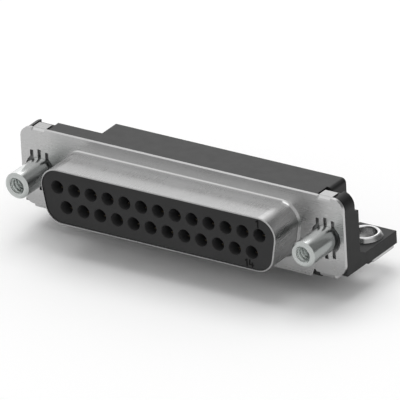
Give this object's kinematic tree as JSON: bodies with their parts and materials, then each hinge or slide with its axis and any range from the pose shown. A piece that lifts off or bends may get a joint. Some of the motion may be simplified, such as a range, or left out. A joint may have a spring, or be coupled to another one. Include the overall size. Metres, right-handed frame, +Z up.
{
  "type": "d-sub connector",
  "caption": "Right-angle D-sub receptacle for a circuit board: stamped metal front shell, black moulded housing, round threaded screwlocks and eyelets over the board holes.",
  "frame": {"origin": "on the board's top face, midway between the two board holes", "axes": "+Z up from the board, +Y from the mating face to the rear, +X to the right as seen from the front"},
  "size_m": [0.053, 0.0189, 0.0155],
  "materials": {
    "shell_metal": "tin over nickel, satin",
    "housing_plastic": "fine moulded matt",
    "aligner_plastic": "fine moulded matt",
    "contact_metal": "plated, bright",
    "screwlock_metal": "zinc plated, turned",
    "eyelet_metal": "bright plated, rolled"
  },
  "bodies": {
    "root": {"front_shell": "shell_metal", "housing": "housing_plastic", "tail_aligner": "aligner_plastic", "screwlock_left": "screwlock_metal", "screwlock_right": "screwlock_metal", "eyelet_left": "eyelet_metal", "eyelet_right": "eyelet_metal", "contact_01": "contact_metal", "contact_02": "contact_metal", "contact_03": "contact_metal", "contact_04": "contact_metal", "contact_05": "contact_metal", "contact_06": "contact_metal", "contact_07": "contact_metal", "contact_08": "contact_metal", "contact_09": "contact_metal", "contact_10": "contact_metal", "contact_11": "contact_metal", "contact_12": "contact_metal", "contact_13": "contact_metal", "contact_14": "contact_metal", "contact_15": "contact_metal", "contact_16": "contact_metal", "contact_17": "contact_metal", "contact_18": "contact_metal", "contact_19": "contact_metal", "contact_20": "contact_metal", "contact_21": "contact_metal", "contact_22": "contact_metal", "contact_23": "contact_metal", "contact_24": "contact_metal", "contact_25": "contact_metal"}
  },
  "joints": []
}
